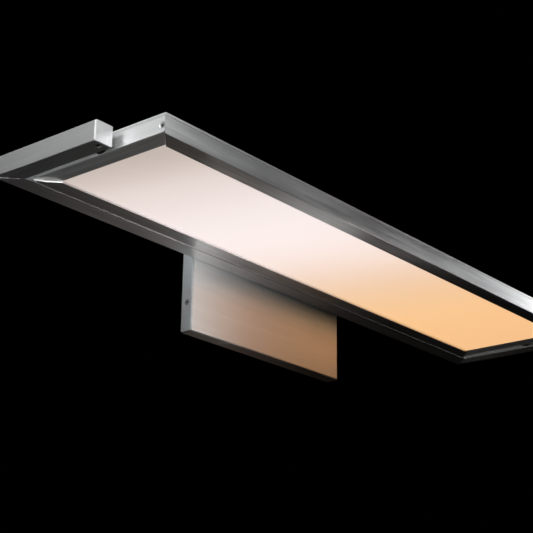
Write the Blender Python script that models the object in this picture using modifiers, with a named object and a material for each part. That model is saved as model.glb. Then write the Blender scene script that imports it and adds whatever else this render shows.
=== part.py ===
"""Aluminium picture light: a tilting flat LED head in a U-shaped bracket on a wall box.

The frame is in metres. The origin is the centre of the wall plate's rear face, +X runs along
the head, +Y points into the wall and +Z is up. The head turns about tilt_axis, parallel to X.
"""
import math

import bmesh
import bpy
from mathutils import Matrix, Vector

# Driving dimensions
OVERALL_WIDTH = 0.800
FIT = 0.0003                # space left between pieces that touch
MITRE_GAP = 0.0002          # trimmed off each mitred end
TUBE = 0.020                # square tube of the bracket
TUBE_WALL = 0.002
TUBE_CORNER = 0.0008        # radius of the tube's long edges
DRESSED_DEPTH = 0.0015      # most that is filed off an arm's underside at its mitre
DRESSED_WIDTH = 0.013       # how far that reaches across the arm
DRESSED_LENGTH = 0.055      # how far that reaches along the arm
ARM_LENGTH = 0.134          # rear of the crossbar to the front of an arm
PIVOT_SETBACK = 0.020       # pivot axis behind the front of an arm
SIDE_GAP = 0.007            # arm to head
REAR_GAP = 0.003            # head to crossbar

BOX_WIDTH = 0.256
BOX_HEIGHT = 0.100
BOX_DEPTH = 0.0147
BOX_WALL = 0.002
FOLD_R = 0.0024
PLATE = 0.003

HEAD_DEPTH = 0.168
HEAD_HEIGHT = 0.020
LID = 0.0025
RAIL_WALL = 0.0018
LIP = 0.0016                # thickness of the rails' bottom flange
BEZEL_LONG = 0.018          # visible flange along the long sides
BEZEL_END = 0.020           # visible flange at the ends
END_STEP = 0.0018           # how far the end flanges sit above the long ones
EDGE_CHAMFER = 0.0004
RIB_TOP = LIP + END_STEP    # level that the diffuser's flange rests on
DIFFUSER_RECESS = END_STEP + 0.0002
DIFFUSER_FLANGE = 0.0015
PORT_IN = 0.0036            # screw port from the rail's outer face
PORT_UP = 0.0087            # screw port above the rail's bottom
REFLECTOR_IN = 0.0148       # reflector frame from the head's outer faces
REFLECTOR_WALL = 0.001

BOARD_LENGTH = 0.700
BOARD_WIDTH = 0.014
BOARD_THICK = 0.0016
BOARD_PITCH = 0.044
LEDS_PER_BOARD = 24

PIVOT_TUBE_R = 0.0040
PIVOT_TUBE_BORE_R = 0.0026
RUNNING = 0.0002            # radial clearance round the pivot tube
SPACER_R = 0.0084
LEAD_R = 0.0015

# Places that follow from them
ARM_OUTER = OVERALL_WIDTH / 2
ARM_INNER = ARM_OUTER - TUBE
ARM_MIDDLE = ARM_OUTER - TUBE / 2
HEAD_END = ARM_INNER - SIDE_GAP
TOP = BOX_HEIGHT / 2
TUBE_BOTTOM = TOP - TUBE
HEAD_BOTTOM = TOP - HEAD_HEIGHT
RAIL_TOP = HEAD_HEIGHT - LID - FIT
CROSSBAR_BACK = -(BOX_DEPTH + FIT)
CROSSBAR_FRONT = CROSSBAR_BACK - TUBE
HEAD_BACK = CROSSBAR_FRONT - REAR_GAP
HEAD_FRONT = HEAD_BACK - HEAD_DEPTH
HEAD_MIDDLE = (HEAD_FRONT + HEAD_BACK) / 2
ARM_FRONT = CROSSBAR_BACK - ARM_LENGTH
CAP = 0.002
PLUG_END = ARM_FRONT + 0.037
PIVOT_Y = ARM_FRONT + PIVOT_SETBACK
PIVOT_Z = TOP - HEAD_HEIGHT / 2
SET_SCREW_Y = ARM_FRONT + 0.007
LEAD_BORE_X = ARM_MIDDLE + 0.0025
BOLT_X = 0.100
LEAD_HOLE_X = -0.060
SIDE_SCREW_Z = -0.0176
SIDE_SCREW_Y = -BOX_DEPTH / 2
MAINS_HOLE = (0.095, 0.010)
SIDES = (("left", -1), ("right", 1))


# ---------------------------------------------------------------- scene and materials

def clear_scene():
    for obj in list(bpy.data.objects):
        bpy.data.objects.remove(obj, do_unlink=True)


def new_collection(name):
    collection = bpy.data.collections.new(name)
    bpy.context.scene.collection.children.link(collection)
    return collection


def new_empty(name, location):
    empty = bpy.data.objects.new(name, None)
    empty.location = location
    empty.empty_display_size = 0.03
    PARTS.objects.link(empty)
    return empty


def new_material(name, colour, roughness, metallic):
    material = bpy.data.materials.new(name)
    material.use_nodes = True
    shader = material.node_tree.nodes["Principled BSDF"]
    shader.inputs["Base Color"].default_value = (*colour, 1.0)
    shader.inputs["Roughness"].default_value = roughness
    shader.inputs["Metallic"].default_value = metallic
    return material


clear_scene()
PARTS = new_collection("picture_light")
CUTTERS = new_collection("cutters")
BRACKET = new_empty("bracket_frame", (0.0, 0.0, 0.0))
HEAD = new_empty("tilt_axis", (0.0, PIVOT_Y, PIVOT_Z))

ALUMINIUM = new_material("satin_aluminium", (0.72, 0.73, 0.74), 0.38, 1.0)
PLATE_ALUMINIUM = new_material("mill_aluminium", (0.62, 0.63, 0.64), 0.50, 1.0)
OPAL = new_material("opal_acrylic", (0.93, 0.89, 0.86), 0.45, 0.0)
WHITE = new_material("white_reflector", (0.88, 0.88, 0.86), 0.60, 0.0)
BOARD_WHITE = new_material("led_board_white", (0.85, 0.86, 0.84), 0.45, 0.0)
STEEL = new_material("stainless_steel", (0.56, 0.56, 0.57), 0.30, 1.0)
ZINC = new_material("zinc_plated_steel", (0.60, 0.61, 0.62), 0.35, 1.0)
NYLON = new_material("black_nylon", (0.03, 0.03, 0.032), 0.50, 0.0)
FIBRE = new_material("fibre_washer", (0.30, 0.10, 0.07), 0.80, 0.0)
RUBBER = new_material("black_rubber", (0.04, 0.04, 0.04), 0.85, 0.0)
DRIVER_WHITE = new_material("driver_plastic", (0.80, 0.80, 0.78), 0.50, 0.0)
TERMINAL_WHITE = new_material("terminal_plastic", (0.82, 0.81, 0.76), 0.40, 0.0)
SLEEVE = new_material("lead_sleeve", (0.75, 0.75, 0.73), 0.55, 0.0)


# ---------------------------------------------------------------- shape helpers

def add_part(name, mesh, material, group, centre, rotation=None):
    """Link one named sub-part whose mesh is centred on its own origin."""
    obj = bpy.data.objects.new(name, mesh)
    obj.data.materials.append(material)
    obj.parent = group
    obj.location = Vector(centre) - group.location
    if rotation is not None:
        obj.rotation_mode = "QUATERNION"
        obj.rotation_quaternion = rotation
    PARTS.objects.link(obj)
    return obj


def add_cutter(name, mesh, centre, rotation=None):
    cutter = bpy.data.objects.new(name, mesh)
    cutter.location = centre
    if rotation is not None:
        cutter.rotation_mode = "QUATERNION"
        cutter.rotation_quaternion = rotation
    cutter.hide_render = True
    cutter.display_type = "WIRE"
    CUTTERS.objects.link(cutter)
    return cutter


def mesh_from(bm, name):
    mesh = bpy.data.meshes.new(name)
    bm.to_mesh(mesh)
    bm.free()
    return mesh


def box_mesh(name, size):
    bm = bmesh.new()
    bmesh.ops.create_cube(bm, size=1.0, matrix=Matrix.Diagonal((*size, 1.0)))
    return mesh_from(bm, name)


def rod_mesh(name, radius, length, segments=24):
    bm = bmesh.new()
    bmesh.ops.create_cone(bm, cap_ends=True, segments=segments, radius1=radius,
                          radius2=radius, depth=length)
    return mesh_from(bm, name)


def centre_and_size(low, high):
    low, high = Vector(low), Vector(high)
    return (low + high) / 2, high - low


def toward(direction):
    """The rotation that turns local +Z to a direction."""
    return Vector((0, 0, 1)).rotation_difference(Vector(direction))


def block(name, low, high, material, group, bevel=0.0):
    centre, size = centre_and_size(low, high)
    obj = add_part(name, box_mesh(name, size), material, group, centre)
    if bevel:
        round_edges(obj, bevel)
    return obj


def round_edges(obj, width, segments=2):
    modifier = obj.modifiers.new("rounded_edges", "BEVEL")
    modifier.width = width
    modifier.segments = segments
    modifier.limit_method = "ANGLE"
    modifier.angle_limit = math.radians(40)
    return modifier


def combine(obj, cutter, operation):
    modifier = obj.modifiers.new(cutter.name, "BOOLEAN")
    modifier.operation = operation
    modifier.solver = "EXACT"
    modifier.object = cutter


def cut_box(obj, name, low, high):
    centre, size = centre_and_size(low, high)
    combine(obj, add_cutter(name, box_mesh(name, size), centre), "DIFFERENCE")


def join_box(obj, name, low, high):
    centre, size = centre_and_size(low, high)
    combine(obj, add_cutter(name, box_mesh(name, size), centre), "UNION")


def cut_rod(obj, name, start, end, radius, segments=24):
    start, end = Vector(start), Vector(end)
    mesh = rod_mesh(name, radius, (end - start).length, segments)
    combine(obj, add_cutter(name, mesh, (start + end) / 2, toward(end - start)), "DIFFERENCE")


def profile_mesh(name, profile, closed):
    """Edges in the XZ plane for a Screw modifier; the outer side runs from top to bottom."""
    bm = bmesh.new()
    verts = [bm.verts.new((radius, 0.0, height)) for radius, height in profile]
    for first, second in zip(verts, verts[1:]):
        bm.edges.new((first, second))
    if closed:
        bm.edges.new((verts[-1], verts[0]))
    return mesh_from(bm, name)


def turn(obj, segments):
    modifier = obj.modifiers.new("turned", "SCREW")
    modifier.axis = "Z"
    modifier.steps = segments
    modifier.render_steps = segments
    modifier.use_merge_vertices = True
    modifier.merge_threshold = 0.00001
    return obj


def turned_part(name, profile, closed, material, group, centre, direction, segments=32):
    mesh = profile_mesh(name, profile, closed)
    return turn(add_part(name, mesh, material, group, centre, toward(direction)), segments)


def ring(name, inner, outer, length, material, group, centre, direction):
    """A washer, spacer or tube whose near face is at centre and whose far face is along
    direction."""
    profile = [(outer, length), (outer, 0.0), (inner, 0.0), (inner, length)]
    return turned_part(name, profile, True, material, group, centre, direction)


def extruded(name, outline, openings, length):
    """A 2D outline in X and Y, extruded by half of length each way along Z, as a mesh."""
    curve = bpy.data.curves.new(name, "CURVE")
    curve.dimensions = "2D"
    curve.fill_mode = "BOTH"
    curve.extrude = length / 2
    for points in (outline, *openings):
        spline = curve.splines.new("POLY")
        spline.points.add(len(points) - 1)
        for point, (across, up) in zip(spline.points, points):
            point.co = (across, up, 0.0, 1.0)
        spline.use_cyclic_u = True
    holder = bpy.data.objects.new(name, curve)
    PARTS.objects.link(holder)
    bpy.context.view_layer.update()
    evaluated = holder.evaluated_get(bpy.context.evaluated_depsgraph_get())
    mesh = bpy.data.meshes.new_from_object(evaluated)
    bpy.data.objects.remove(holder, do_unlink=True)
    bm = bmesh.new()
    bm.from_mesh(mesh)
    bmesh.ops.remove_doubles(bm, verts=bm.verts, dist=0.000001)
    bm.to_mesh(mesh)
    bm.free()
    mesh.materials.clear()
    return mesh


def mitre(mesh, near_slope, far_slope):
    """Trim an extrusion's ends: slope is the length lost per unit of distance inward."""
    for vertex in mesh.vertices:
        if vertex.co.z > 0:
            if far_slope:
                vertex.co.z -= vertex.co.x * far_slope + MITRE_GAP
        elif near_slope:
            vertex.co.z += vertex.co.x * near_slope + MITRE_GAP
    return mesh


def rail_rotation(inward):
    """Local X to the inward direction and local Y to +Z; local Z is then along the rail."""
    inward = Vector(inward)
    along = inward.cross(Vector((0, 0, 1)))
    return Matrix((inward, (0, 0, 1), along)).transposed().to_quaternion()


def circle(centre, radius, count):
    turn_step = 2 * math.pi / count
    return [(centre[0] + radius * math.cos(turn_step * i),
             centre[1] + radius * math.sin(turn_step * i)) for i in range(count)]


def square(low, high):
    return [(low, low), (high, low), (high, high), (low, high)]


def rounded_square(low, high, radius, steps=3):
    """A square outline whose corners are arcs, anticlockwise from the lower right corner."""
    points = []
    for corner in range(4):
        across = high - radius if corner in (0, 1) else low + radius
        up = high - radius if corner in (1, 2) else low + radius
        for step in range(steps + 1):
            angle = math.pi / 2 * (corner - 1 + step / steps)
            points.append((across + radius * math.cos(angle), up + radius * math.sin(angle)))
    return points


def smooth_route(points, spacing):
    """Points on a Catmull-Rom curve through the route's own points."""
    points = [Vector(p) for p in points]
    ends = [2 * points[0] - points[1]] + points + [2 * points[-1] - points[-2]]
    route = []
    for a, b, c, d in zip(ends, ends[1:], ends[2:], ends[3:]):
        count = max(1, min(8, round((c - b).length / spacing)))
        for i in range(count):
            t = i / count
            route.append(0.5 * (2 * b + (c - a) * t + (2 * a - 5 * b + 4 * c - d) * t * t
                                + (3 * b - a - 3 * c + d) * t ** 3))
    route.append(points[-1])
    return route


def lead(name, points, radius, group):
    """A round lead along a smooth route, as a curve with filled caps."""
    curve = bpy.data.curves.new(name, "CURVE")
    curve.dimensions = "3D"
    curve.bevel_depth = radius
    curve.bevel_resolution = 2
    curve.use_fill_caps = True
    route = smooth_route(points, 3 * radius)
    spline = curve.splines.new("POLY")
    spline.points.add(len(route) - 1)
    for point, place in zip(spline.points, route):
        point.co = (*(place - group.location), 1.0)
    return add_part(name, curve, SLEEVE, group, group.location)


# ---------------------------------------------------------------- screws

def countersunk_profile(head_r, head_depth, shank_r, length):
    return [(0.0, 0.0), (head_r, 0.0), (head_r, -0.0002), (shank_r, -head_depth),
            (shank_r, -length), (0.0, -length)]


def socket(obj, name, mouth, direction, across, depth):
    """A hexagon socket whose mouth is at a point and which opens along direction."""
    mouth, direction = Vector(mouth), Vector(direction)
    radius = across / math.sqrt(3)
    cut_rod(obj, name, mouth - direction * depth, mouth + direction * depth, radius, 6)


def countersunk_screw(name, group, mouth, direction, head_r, head_depth, shank_r, length, key):
    """A countersunk screw whose flat head faces along direction."""
    profile = countersunk_profile(head_r, head_depth, shank_r, length)
    obj = turned_part(name, profile, False, STEEL, group, mouth, direction, 20)
    socket(obj, name + "_socket", mouth, direction, key, head_depth * 0.7)
    return obj


def cut_countersink(obj, name, mouth, direction, head_r, head_depth, hole_r, length):
    """The hole for a countersunk screw, opened past its mouth so that it cuts cleanly."""
    over = 0.001
    profile = [(0.0, over), (head_r + FIT, over), (head_r + FIT, -0.0002),
               (hole_r, -head_depth - FIT), (hole_r, -length), (0.0, -length)]
    mesh = profile_mesh(name, profile, False)
    cutter = add_cutter(name, mesh, mouth, toward(direction))
    combine(obj, turn(cutter, 20), "DIFFERENCE")


M3_HEAD_R, M3_HEAD_DEPTH, M3_SHANK_R, M3_KEY = 0.00275, 0.0014, 0.0012, 0.0020
END_HOLE_R, END_HOLE_DEPTH, END_HEAD_R, END_HEAD_DEPTH, END_SINK, END_KEY = (
    0.0032, 0.0014, 0.0028, 0.0012, 0.0005, 0.0025)
M4_HEAD_R, M4_HEAD_DEPTH, M4_SHANK_R, M4_KEY = 0.00345, 0.0016, 0.0019, 0.0025


# ---------------------------------------------------------------- wall box

def make_wall_plate():
    half_x = BOX_WIDTH / 2 - BOX_WALL - 2 * FIT
    half_z = BOX_HEIGHT / 2 - BOX_WALL - 2 * FIT
    tab, tab_half, tab_depth = 0.0025, 0.010, 0.0115
    plate = block("wall_plate", (-half_x, -PLATE, -half_z), (half_x, 0, half_z),
                  PLATE_ALUMINIUM, BRACKET)
    for side, sign in SIDES:
        outer, inner = sign * half_x, sign * (half_x - tab)
        low = (min(outer, inner), -tab_depth, SIDE_SCREW_Z - tab_half)
        high = (max(outer, inner), -PLATE / 2, SIDE_SCREW_Z + tab_half)
        join_box(plate, "plate_tab_" + side, low, high)
        cut_rod(plate, "tab_hole_" + side, (sign * (half_x + 0.002), SIDE_SCREW_Y, SIDE_SCREW_Z),
                (sign * (half_x - 0.006), SIDE_SCREW_Y, SIDE_SCREW_Z), M4_SHANK_R + FIT, 20)
        cut_box(plate, "wall_slot_" + side, (sign * 0.080 - 0.006, -0.01, 0.0215),
                (sign * 0.080 + 0.006, 0.01, 0.0265))
    x, z = MAINS_HOLE
    cut_rod(plate, "mains_hole", (x, -0.01, z), (x, 0.01, z), 0.008)


def make_box_cover():
    half_x, half_z = BOX_WIDTH / 2, BOX_HEIGHT / 2
    behind = 3 * FOLD_R
    cover = block("wall_box_cover", (-half_x, -BOX_DEPTH, -half_z), (half_x, behind, half_z),
                  ALUMINIUM, BRACKET)
    round_edges(cover, FOLD_R, 5)
    cut_box(cover, "cover_open_back", (-BOX_WIDTH, 0, -BOX_HEIGHT),
            (BOX_WIDTH, 2 * behind, BOX_HEIGHT))
    cut_box(cover, "cover_cavity",
            (-half_x + BOX_WALL, -BOX_DEPTH + BOX_WALL, -half_z + BOX_WALL),
            (half_x - BOX_WALL, 0.01, half_z - BOX_WALL))
    for side, sign in SIDES:
        cut_rod(cover, "cover_bolt_hole_" + side, (sign * BOLT_X, -0.02, PIVOT_Z),
                (sign * BOLT_X, -0.01, PIVOT_Z), 0.0028)
        cut_countersink(cover, "cover_countersink_" + side,
                        (sign * half_x, SIDE_SCREW_Y, SIDE_SCREW_Z), (sign, 0, 0),
                        M4_HEAD_R, M4_HEAD_DEPTH, M4_SHANK_R + FIT, 0.004)
    cut_rod(cover, "cover_lead_hole", (LEAD_HOLE_X, -0.02, PIVOT_Z),
            (LEAD_HOLE_X, -0.01, PIVOT_Z), 0.0034)


def make_box_screws():
    for side, sign in SIDES:
        countersunk_screw("box_side_screw_" + side, BRACKET,
                          (sign * (BOX_WIDTH / 2 - 0.0001), SIDE_SCREW_Y, SIDE_SCREW_Z),
                          (sign, 0, 0), M4_HEAD_R, M4_HEAD_DEPTH, M4_SHANK_R, 0.007, M4_KEY)


def make_box_contents():
    front, back = -BOX_DEPTH + BOX_WALL + FIT, -PLATE - FIT
    block("led_driver", (-0.058, front, -0.042), (0.082, back, -0.008), DRIVER_WHITE, BRACKET,
          bevel=0.0015)
    terminal = block("terminal_block", (0.090, front, -0.036), (0.114, back, -0.022),
                     TERMINAL_WHITE, BRACKET, bevel=0.0008)
    for i in range(3):
        x = 0.094 + 0.008 * i
        cut_rod(terminal, f"terminal_well_{i + 1}", (x, -0.009, -0.029), (x, -0.02, -0.029),
                0.0022, 16)
    x, z = MAINS_HOLE
    sleeve_r, bore_r, flange_r = 0.0077, 0.0035, 0.0095
    turned_part("mains_grommet",
                [(sleeve_r, -0.0002), (sleeve_r, -PLATE - FIT), (flange_r, -PLATE - FIT),
                 (flange_r, -0.0046), (bore_r, -0.0046), (bore_r, -0.0002)],
                True, RUBBER, BRACKET, (x, 0, z), (0, 1, 0), 28)
    sleeve_r, bore_r, flange_r = 0.0031, 0.0024, 0.0045
    inner_face = -BOX_DEPTH + BOX_WALL + FIT
    turned_part("lead_grommet",
                [(flange_r, inner_face + 0.001), (flange_r, inner_face), (sleeve_r, inner_face),
                 (sleeve_r, -0.0175), (bore_r, -0.0175), (bore_r, inner_face + 0.001)],
                True, RUBBER, BRACKET, (LEAD_HOLE_X, 0, PIVOT_Z), (0, 1, 0), 20)


# ---------------------------------------------------------------- bracket

def tube_mesh(name, length):
    outline = rounded_square(0.0, TUBE, TUBE_CORNER)
    return extruded(name, outline, [square(TUBE_WALL, TUBE - TUBE_WALL)], length)


def make_crossbar():
    mesh = mitre(tube_mesh("crossbar", OVERALL_WIDTH), 1.0, 1.0)
    bar = add_part("crossbar", mesh, ALUMINIUM, BRACKET, (0, CROSSBAR_BACK, TUBE_BOTTOM),
                   rail_rotation((0, -1, 0)))
    wall_front = CROSSBAR_BACK - TUBE_WALL - 0.002
    for side, sign in SIDES:
        cut_rod(bar, "crossbar_bolt_hole_" + side, (sign * BOLT_X, wall_front, PIVOT_Z),
                (sign * BOLT_X, -0.01, PIVOT_Z), 0.0028)
    cut_rod(bar, "crossbar_lead_hole", (LEAD_HOLE_X, wall_front, PIVOT_Z),
            (LEAD_HOLE_X, -0.01, PIVOT_Z), 0.0034)


def make_arm(side, sign):
    name = side + "_arm"
    length = ARM_LENGTH - CAP - FIT
    near_slope, far_slope = (1.0, 0.0) if sign < 0 else (0.0, 1.0)
    mesh = mitre(tube_mesh(name, length), near_slope, far_slope)
    arm = add_part(name, mesh, ALUMINIUM, BRACKET,
                   (sign * ARM_OUTER, CROSSBAR_BACK - length / 2, TUBE_BOTTOM),
                   rail_rotation((-sign, 0, 0)))
    cut_rod(arm, name + "_pivot_hole", (sign * (ARM_INNER - 0.002), PIVOT_Y, PIVOT_Z),
            (sign * (ARM_INNER + 0.004), PIVOT_Y, PIVOT_Z), PIVOT_TUBE_R + FIT)
    cut_rod(arm, name + "_set_screw_hole", (sign * ARM_MIDDLE, SET_SCREW_Y, TUBE_BOTTOM - 0.002),
            (sign * ARM_MIDDLE, SET_SCREW_Y, TUBE_BOTTOM + 0.004), 0.0028)
    cut_countersink(arm, name + "_set_screw_chamfer",
                    (sign * ARM_MIDDLE, SET_SCREW_Y, TUBE_BOTTOM), (0, 0, -1),
                    0.0034, 0.0007, 0.0026, 0.003)
    dress_mitre(arm, side, sign)


def dress_mitre(arm, side, sign):
    """File a shallow facet off the arm's underside, deepest at the outer rear corner.

    It leaves a tapering sliver of the crossbar's cut face in view along the mitre.
    """
    corner = Vector((sign * ARM_OUTER, CROSSBAR_BACK, TUBE_BOTTOM + DRESSED_DEPTH))
    across = Vector((sign * (ARM_OUTER - DRESSED_WIDTH), CROSSBAR_BACK - DRESSED_WIDTH,
                     TUBE_BOTTOM))
    along = Vector((sign * ARM_OUTER, CROSSBAR_BACK - DRESSED_LENGTH, TUBE_BOTTOM))
    normal = (across - corner).cross(along - corner).normalized()
    if normal.z < 0:
        normal.negate()
    size = 4 * DRESSED_LENGTH
    name = side + "_arm_dressing"
    cutter = add_cutter(name, box_mesh(name, (size, size, size)), corner - normal * size / 2,
                        toward(normal))
    combine(arm, cutter, "DIFFERENCE")


def make_arm_plug(side, sign):
    """A plug that fills the arm's end, closes it with a flat cap and carries the pivot."""
    name = "arm_end_plug_" + side
    half = TUBE / 2 - TUBE_WALL - FIT
    x = sign * ARM_MIDDLE
    mesh = extruded(name, rounded_square(0.0, TUBE, TUBE_CORNER), [], CAP)
    plug = add_part(name, mesh, ALUMINIUM, BRACKET,
                    (sign * ARM_OUTER, ARM_FRONT + CAP / 2, TUBE_BOTTOM),
                    rail_rotation((-sign, 0, 0)))
    join_box(plug, name + "_body", (x - half, ARM_FRONT + CAP / 2, PIVOT_Z - half),
             (x + half, PLUG_END, PIVOT_Z + half))
    cut_rod(plug, name + "_pivot_bore", (sign * (ARM_INNER - 0.002), PIVOT_Y, PIVOT_Z),
            (sign * (ARM_OUTER - 0.004), PIVOT_Y, PIVOT_Z), PIVOT_TUBE_R + FIT)
    cut_rod(plug, name + "_lead_bore", (sign * LEAD_BORE_X, PIVOT_Y, PIVOT_Z),
            (sign * LEAD_BORE_X, PLUG_END + 0.002, PIVOT_Z), 0.0022, 16)
    cut_rod(plug, name + "_screw_hole", (x, SET_SCREW_Y, TUBE_BOTTOM - 0.002),
            (x, SET_SCREW_Y, TUBE_BOTTOM + 0.012), 0.0028)


def make_set_screw(side, sign):
    recess, length, radius = 0.0003, 0.008, 0.0025
    x = sign * ARM_MIDDLE
    bevel = 0.0004
    profile = [(0.0, 0.0), (radius - bevel, 0.0), (radius, -bevel), (radius, -length),
               (0.0, -length)]
    mouth = (x, SET_SCREW_Y, TUBE_BOTTOM + recess)
    screw = turned_part("arm_set_screw_" + side, profile, False, ZINC, BRACKET, mouth,
                        (0, 0, -1), 20)
    socket(screw, "set_screw_socket_" + side, mouth, (0, 0, -1), 0.0025, 0.0025)


def make_bracket_key(side, sign):
    """An L-shaped key that joins an arm and the crossbar inside their mitre."""
    name = "bracket_corner_key_" + side
    leg, thick = 0.045, 0.005
    gap = TUBE_WALL + FIT
    low_z = TUBE_BOTTOM + gap
    outer, inner = sign * (ARM_OUTER - gap), sign * (ARM_INNER + gap)
    far = sign * (ARM_OUTER - leg)
    back, front = CROSSBAR_BACK - gap, CROSSBAR_FRONT + gap
    key = block(name, (min(outer, inner), CROSSBAR_BACK - leg, low_z),
                (max(outer, inner), back, low_z + thick), ZINC, BRACKET)
    join_box(key, name + "_leg", (min(far, (outer + inner) / 2), front, low_z),
             (max(far, (outer + inner) / 2), back, low_z + thick))


def make_crossbar_fixings():
    for side, sign in SIDES:
        x = sign * BOLT_X
        back = CROSSBAR_BACK - TUBE_WALL - FIT
        nut = block("crossbar_nut_" + side, (x - 0.007, back - 0.006, PIVOT_Z - 0.007),
                    (x + 0.007, back, PIVOT_Z + 0.007), ZINC, BRACKET)
        cut_rod(nut, "crossbar_nut_thread_" + side, (x, back + 0.002, PIVOT_Z),
                (x, back - 0.008, PIVOT_Z), 0.0025 + FIT)
        seat = -BOX_DEPTH + BOX_WALL + FIT
        head_r, head_height, shank_r, length = 0.0046, 0.0026, 0.0025, 0.012
        profile = [(0.0, head_height), (head_r * 0.6, head_height),
                   (head_r, head_height * 0.35), (head_r, 0.0), (shank_r, 0.0),
                   (shank_r, -length), (0.0, -length)]
        bolt = turned_part("crossbar_bolt_" + side, profile, False, ZINC, BRACKET,
                           (x, seat, PIVOT_Z), (0, 1, 0), 20)
        socket(bolt, "crossbar_bolt_socket_" + side, (x, seat + head_height, PIVOT_Z),
               (0, 1, 0), 0.003, 0.0014)


# ---------------------------------------------------------------- pivots

def make_pivot(side, sign):
    """Hollow pivot tube, spacer, washers and nut, outside to inside along the axis."""
    inward = (-sign, 0, 0)

    def at(distance):
        """A point on the axis, this far inside the head's end face."""
        return (sign * (HEAD_END - distance), PIVOT_Y, PIVOT_Z)

    bore = PIVOT_TUBE_R + FIT
    tube_start, tube_end = -0.0160, 0.0134
    ring("pivot_tube_" + side, PIVOT_TUBE_BORE_R, PIVOT_TUBE_R, tube_end - tube_start, ZINC,
         BRACKET, at(tube_start), inward)
    ring("pivot_spacer_" + side, bore, SPACER_R, SIDE_GAP - 0.0006 - 3 * FIT, NYLON, BRACKET,
         at(-SIDE_GAP + FIT), inward)
    ring("friction_washer_" + side, bore, 0.0080, 0.0006, FIBRE, HEAD, at(-0.0009), inward)
    ring("spring_washer_" + side, bore, 0.0062, 0.0005, STEEL, BRACKET, at(0.0094), inward)
    name = "pivot_nut_" + side
    nut_low, nut_high = 0.0102, 0.0130
    centre = at((nut_low + nut_high) / 2)
    nut = add_part(name, rod_mesh(name, 0.011 / math.sqrt(3), nut_high - nut_low, 6), ZINC,
                   BRACKET, centre, toward(inward))
    cut_rod(nut, name + "_thread", at(nut_low - 0.002), at(nut_high + 0.002), bore)


def make_pivot_block(side, sign):
    """The block behind the end rail that the head turns on."""
    name = "pivot_block_" + side
    outer = sign * (HEAD_END - RAIL_WALL - FIT)
    inner = sign * (HEAD_END - 0.0091)
    half_y = 0.014
    base = HEAD_BOTTOM + RIB_TOP + 2 * FIT
    pivot_block = block(name, (min(outer, inner), PIVOT_Y - half_y, base),
                        (max(outer, inner), PIVOT_Y + half_y, HEAD_BOTTOM + RAIL_TOP),
                        PLATE_ALUMINIUM, HEAD)
    cut_rod(pivot_block, name + "_bore", (sign * HEAD_END, PIVOT_Y, PIVOT_Z),
            (sign * (HEAD_END - 0.012), PIVOT_Y, PIVOT_Z), PIVOT_TUBE_R + RUNNING, 32)


# ---------------------------------------------------------------- head

def long_rail_outline():
    boss_low, boss_high, boss_in = PORT_UP - 0.0027, PORT_UP + 0.0027, 0.0060
    rib = 0.0014
    return [(EDGE_CHAMFER, 0), (BEZEL_LONG, 0), (BEZEL_LONG, RIB_TOP),
            (BEZEL_LONG - rib, RIB_TOP), (BEZEL_LONG - rib, LIP), (RAIL_WALL, LIP),
            (RAIL_WALL, boss_low), (boss_in, boss_low), (boss_in, boss_high),
            (RAIL_WALL, boss_high), (RAIL_WALL, RAIL_TOP), (0, RAIL_TOP), (0, EDGE_CHAMFER)]


def end_rail_outline():
    return [(EDGE_CHAMFER, END_STEP), (BEZEL_END, END_STEP), (BEZEL_END, RIB_TOP),
            (RAIL_WALL, RIB_TOP), (RAIL_WALL, RAIL_TOP), (0, RAIL_TOP),
            (0, END_STEP + EDGE_CHAMFER)]


def make_long_rail(name, face_y, inward):
    """Front or rear rail: side wall, flange, diffuser rib and a screw port along its length."""
    port = circle((PORT_IN, PORT_UP), M3_SHANK_R + FIT, 12)
    mesh = extruded(name, long_rail_outline(), [port], 2 * HEAD_END)
    slope = BEZEL_END / BEZEL_LONG
    add_part(name, mitre(mesh, slope, slope), ALUMINIUM, HEAD, (0, face_y, HEAD_BOTTOM),
             rail_rotation((0, inward, 0)))


def make_end_rail(side, sign):
    name = f"head_{side}_rail"
    mesh = extruded(name, end_rail_outline(), [], HEAD_DEPTH)
    slope = BEZEL_LONG / BEZEL_END
    rail = add_part(name, mitre(mesh, slope, slope), ALUMINIUM, HEAD,
                    (sign * HEAD_END, HEAD_MIDDLE, HEAD_BOTTOM), rail_rotation((-sign, 0, 0)))
    cut_rod(rail, name + "_pivot_hole", (sign * (HEAD_END + 0.002), PIVOT_Y, PIVOT_Z),
            (sign * (HEAD_END - 0.004), PIVOT_Y, PIVOT_Z), PIVOT_TUBE_R + FIT)
    for end, y in end_screw_places():
        mouth = (sign * HEAD_END, y, HEAD_BOTTOM + PORT_UP)
        cut_countersink(rail, f"{name}_countersink_{end}", mouth, (sign, 0, 0),
                        END_HOLE_R, END_HOLE_DEPTH, M3_SHANK_R + FIT, 0.0045)
        countersunk_screw(f"end_screw_{side}_{end}", HEAD,
                          (sign * (HEAD_END - END_SINK), y, HEAD_BOTTOM + PORT_UP),
                          (sign, 0, 0), END_HEAD_R, END_HEAD_DEPTH, M3_SHANK_R, 0.012, END_KEY)


def end_screw_places():
    return (("front", HEAD_FRONT + PORT_IN), ("rear", HEAD_BACK - PORT_IN))


def corners():
    """Name, sign along X, corner's Y and the direction inward along Y of each head corner."""
    for side, sign in SIDES:
        yield side + "_front", sign, HEAD_FRONT, 1
        yield side + "_rear", sign, HEAD_BACK, -1


POST_IN, POST_SIZE = 0.010, 0.006


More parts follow.
